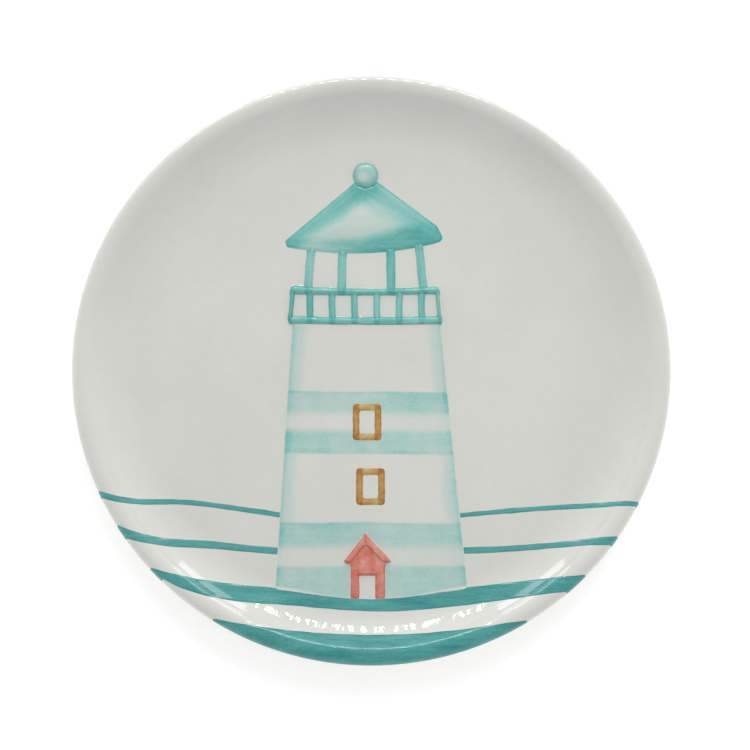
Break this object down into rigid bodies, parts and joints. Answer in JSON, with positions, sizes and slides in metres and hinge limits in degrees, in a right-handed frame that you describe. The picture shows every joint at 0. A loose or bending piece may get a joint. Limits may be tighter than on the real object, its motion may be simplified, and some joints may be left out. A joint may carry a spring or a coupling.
{
  "type": "souvenir plate",
  "caption": "Round white glazed coupe plate with a low-relief lighthouse painted in sea green, ochre and coral, and sea-green sea stripes, for display or for serving.",
  "frame": {"origin": "centre of the foot ring's bottom face, on the surface that the plate stands on", "axes": "+Z out of the well, along the plate's axis; +Y towards the top of the lighthouse; +X to its right"},
  "size_m": [0.21, 0.21, 0.0174],
  "materials": {
    "white_glaze": "glossy warm white glaze over the dish",
    "bare_foot": "unglazed fired clay on the standing face, glazed flanks",
    "tower_glaze": "white glaze with pale sea-green brush washes",
    "sea_green_wash": "sea-green underglaze wash, darker at the edges",
    "sea_green": "sea-green underglaze, one brush coat",
    "sea_stripe": "deep sea-green underglaze, thick brush strokes",
    "ochre": "ochre underglaze, one brush coat",
    "coral": "coral underglaze, one brush coat"
  },
  "bodies": {
    "root": {"finial_ball": "sea_green_wash", "foot_ring": "bare_foot", "gallery_baluster_1": "sea_green", "gallery_baluster_2": "sea_green", "gallery_baluster_3": "sea_green", "gallery_baluster_4": "sea_green", "gallery_baluster_5": "sea_green", "gallery_baluster_6": "sea_green", "gallery_bottom_rail": "sea_green", "gallery_end_post_left": "sea_green", "gallery_end_post_right": "sea_green", "gallery_top_rail": "sea_green", "lantern_post_1": "sea_green_wash", "lantern_post_2": "sea_green_wash", "lantern_post_3": "sea_green_wash", "lantern_post_4": "sea_green_wash", "lantern_roof": "sea_green_wash", "plate_body": "white_glaze", "porch_roof_board_left": "coral", "porch_roof_board_right": "coral", "porch_wall": "coral", "sea_stripe_1_left": "sea_stripe", "sea_stripe_1_right": "sea_stripe", "sea_stripe_2_left": "sea_stripe", "sea_stripe_2_right": "sea_stripe", "sea_stripe_3": "sea_stripe", "sea_stripe_4": "sea_stripe", "tower_wall": "tower_glaze", "window_frame_lower": "ochre", "window_frame_upper": "ochre"}
  },
  "joints": []
}
